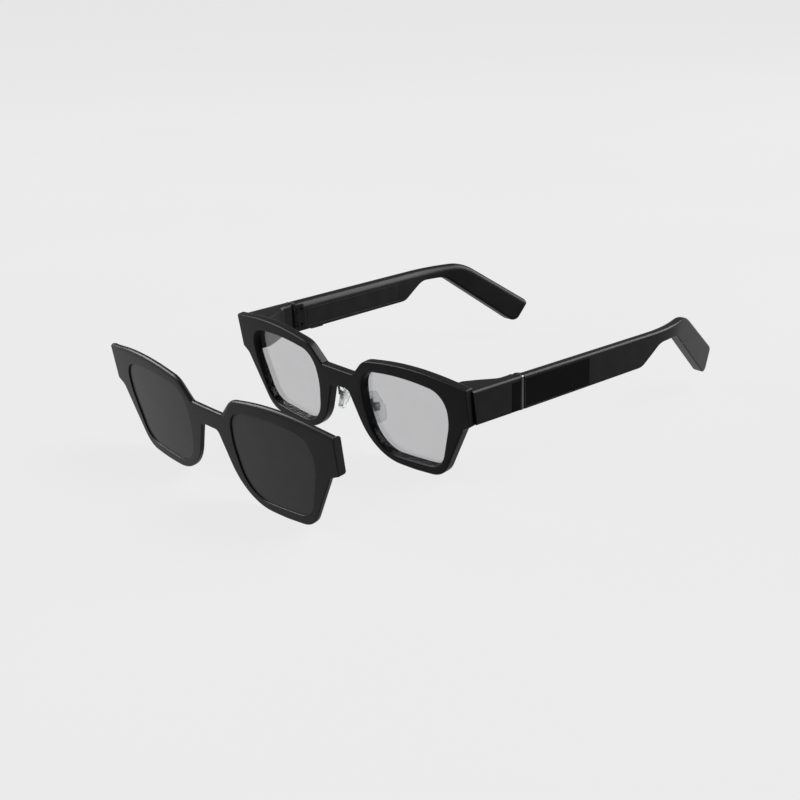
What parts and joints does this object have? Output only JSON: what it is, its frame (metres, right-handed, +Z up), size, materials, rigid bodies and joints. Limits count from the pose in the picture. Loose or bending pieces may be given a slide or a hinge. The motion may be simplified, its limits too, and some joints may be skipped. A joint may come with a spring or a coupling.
{
  "type": "smart glasses",
  "caption": "Full-rim smart glasses with clear display lenses, thick folding temples with bent ear tips, adjustable nose pads and a magnetic dark sun-lens clip-on.",
  "frame": {"origin": "bottom centre of the bounding box, with the clip-on at rest in front of the glasses", "axes": "+X to the wearer's left, -Y where the wearer looks, +Z up; the temples run along +Y"},
  "size_m": [0.1518, 0.2331, 0.0449],
  "materials": {
    "frame_black": "fine matte, slightly satin on the rounded edges",
    "clip_black": "fine matte",
    "panel_gloss": "polished, slightly darker than the frame",
    "lens_clear": "clear, anti-reflection coated",
    "lens_smoke": "dark grey sun tint",
    "pad_clear": "translucent soft silicone",
    "metal_bright": "brushed",
    "metal_dark": "dark coated steel",
    "electronics": "solder mask",
    "cell": "plain",
    "flex": "amber film",
    "gold": "plated",
    "seal": "matte"
  },
  "bodies": {
    "front": {"front_frame": "frame_black", "brow_cover": "frame_black", "brow_flex": "flex", "lens_seals": "seal", "front_magnets": "metal_bright", "microphones": "metal_bright", "left_lens": "lens_clear", "right_lens": "lens_clear", "left_endpiece": "frame_black", "right_endpiece": "frame_black", "left_endpiece_cover": "frame_black", "right_endpiece_cover": "frame_black", "left_gloss_band": "panel_gloss", "right_gloss_band": "panel_gloss", "left_trim_strip": "metal_bright", "right_trim_strip": "metal_bright", "left_light_engine": "cell", "right_light_engine": "cell", "left_front_hinge": "metal_dark", "right_front_hinge": "metal_dark", "left_hinge_pin": "metal_bright", "right_hinge_pin": "metal_bright", "left_nose_arm": "metal_bright", "right_nose_arm": "metal_bright"},
    "left_temple": {"left_temple_shell": "frame_black", "left_temple_cover": "frame_black", "left_touch_panel": "panel_gloss", "left_rear_hinge": "metal_dark", "left_hinge_screws": "metal_bright", "left_circuit_board": "electronics", "left_battery": "cell", "left_speaker": "cell", "left_speaker_mesh": "metal_dark", "charge_contacts": "gold"},
    "right_temple": {"right_temple_shell": "frame_black", "right_temple_cover": "frame_black", "right_touch_panel": "panel_gloss", "right_rear_hinge": "metal_dark", "right_hinge_screws": "metal_bright", "right_circuit_board": "electronics", "right_battery": "cell", "right_speaker": "cell", "right_speaker_mesh": "metal_dark", "button_switch": "metal_bright"},
    "left_pad": {"left_nose_pad": "pad_clear", "left_pad_core": "metal_bright"},
    "right_pad": {"right_nose_pad": "pad_clear", "right_pad_core": "metal_bright"},
    "power_button": {"function_button": "frame_black"},
    "clip_on": {"clip_frame": "clip_black", "left_clip_lens": "lens_smoke", "right_clip_lens": "lens_smoke", "clip_magnets": "metal_bright"}
  },
  "joints": [
    {"name": "left_temple_fold", "type": "hinge", "parent": "front", "child": "left_temple", "pos_m": [0.07061, -0.02143, 0.0343], "axis": [0, 0, 1], "range_deg": [0, 80]},
    {"name": "right_temple_fold", "type": "hinge", "parent": "front", "child": "right_temple", "pos_m": [-0.07061, -0.02143, 0.0343], "axis": [0, 0, -1], "range_deg": [0, 90]},
    {"name": "left_pad_rock", "type": "hinge", "parent": "front", "child": "left_pad", "pos_m": [0.01187, -0.04146, 0.01809], "axis": [0.454, 0.891, 0], "range_deg": [-10, 10]},
    {"name": "right_pad_rock", "type": "hinge", "parent": "front", "child": "right_pad", "pos_m": [-0.01187, -0.04146, 0.01809], "axis": [-0.454, 0.891, 0], "range_deg": [-10, 10]},
    {"name": "function_button_press", "type": "slide", "parent": "right_temple", "child": "power_button", "axis": [0, 0, 1], "range_m": [0, 0.0005], "stiffness_N_per_m": 400},
    {"name": "clip_on_slide", "type": "slide", "parent": "front", "child": "clip_on", "axis": [0, 1, 0], "range_m": [0, 0.06033]}
  ]
}
